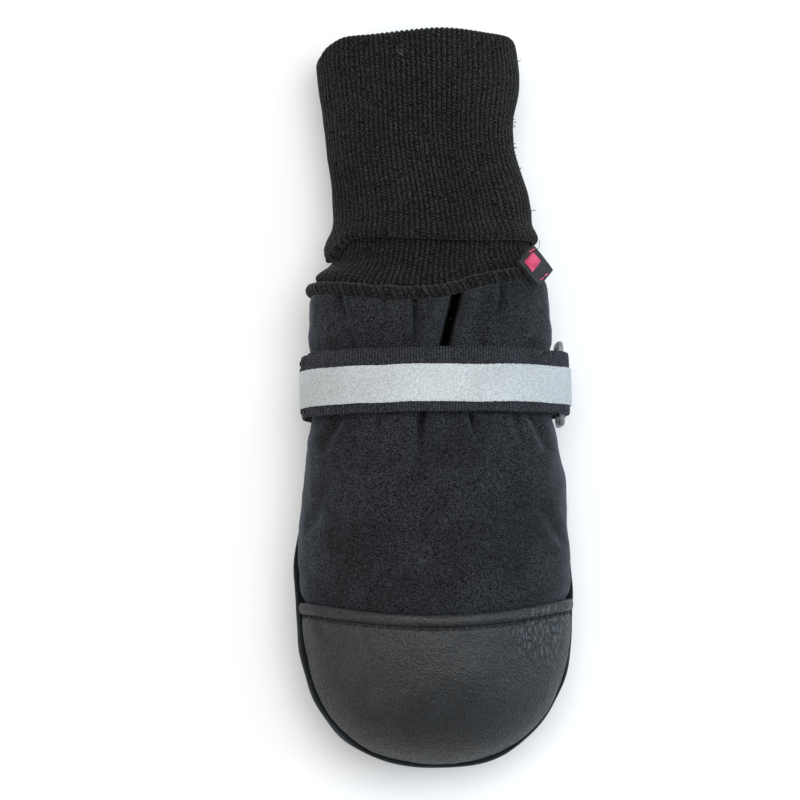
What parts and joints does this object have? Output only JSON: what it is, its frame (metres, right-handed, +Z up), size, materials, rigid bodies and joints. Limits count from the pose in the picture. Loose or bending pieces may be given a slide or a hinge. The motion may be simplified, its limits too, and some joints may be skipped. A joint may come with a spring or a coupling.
{
  "type": "dog shoe",
  "caption": "Soft dog boot with a suede sole, leather toe cap, fabric body, wrist strap with a reflective tape and a long ribbed cuff turned down at its mouth.",
  "frame": {"origin": "on the flat underside of the sole, below the middle of its widest line", "axes": "+Y from the toe to the cuff's mouth, +Z up, +X towards the side with the ring"},
  "size_m": [0.085, 0.225, 0.0432],
  "materials": {
    "suede": "matte napped suede",
    "fleece": "matte fleece",
    "body_fabric": "matte, fine brushed face",
    "grain_leather": "satin pebbled grain",
    "rib_knit": "matte rib knit",
    "webbing": "woven with a low sheen",
    "reflective": "silver reflective tape",
    "ring_plastic": "smooth moulded",
    "ribbon": "woven ribbon with a pink mark"
  },
  "bodies": {
    "root": {"sole": "suede", "insole": "fleece", "upper": "body_fabric", "toe_cap": "grain_leather", "collar_band": "rib_knit", "cuff": "rib_knit", "strap": "webbing", "back_webbing": "webbing", "reflective_tape": "reflective", "strap_ring": "ring_plastic", "side_tag": "ribbon"}
  },
  "joints": []
}
